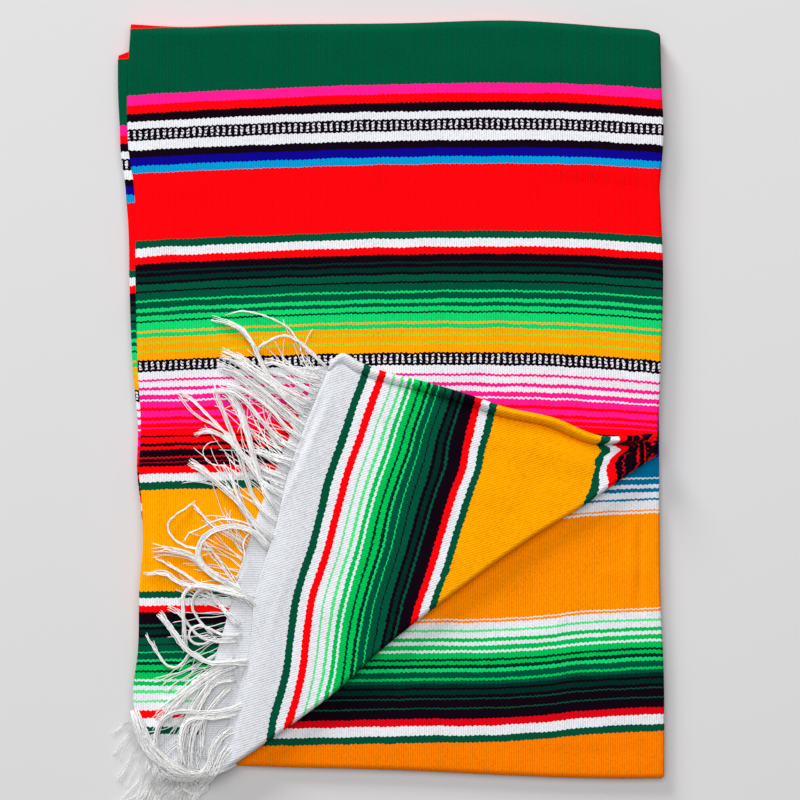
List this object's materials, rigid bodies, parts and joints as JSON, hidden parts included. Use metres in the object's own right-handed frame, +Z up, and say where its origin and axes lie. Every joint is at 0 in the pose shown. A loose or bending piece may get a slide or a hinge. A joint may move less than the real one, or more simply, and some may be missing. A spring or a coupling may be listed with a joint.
{
  "type": "mexican serape",
  "caption": "Striped woven serape folded flat into a rectangle, with one fringed corner turned up over a slanting fold to show the layer below.",
  "frame": {"origin": "on the surface it lies on, under the middle of the whole serape with its fringe", "axes": "+Z up; +Y towards the folded top edge; +X towards the side fold"},
  "size_m": [0.54, 0.8078, 0.0249],
  "materials": {
    "striped_cloth": "matt weft-faced weave in bright stripes",
    "warp_fringe": "matt white cotton yarn"
  },
  "bodies": {
    "root": {"top_panel": "striped_cloth", "lower_panel": "striped_cloth", "turned_corner": "striped_cloth", "corner_inner_layer": "striped_cloth", "folded_layers": "striped_cloth", "fringe_turned_upper": "warp_fringe", "fringe_turned_lower": "warp_fringe", "fringe_end": "warp_fringe"}
  },
  "joints": []
}
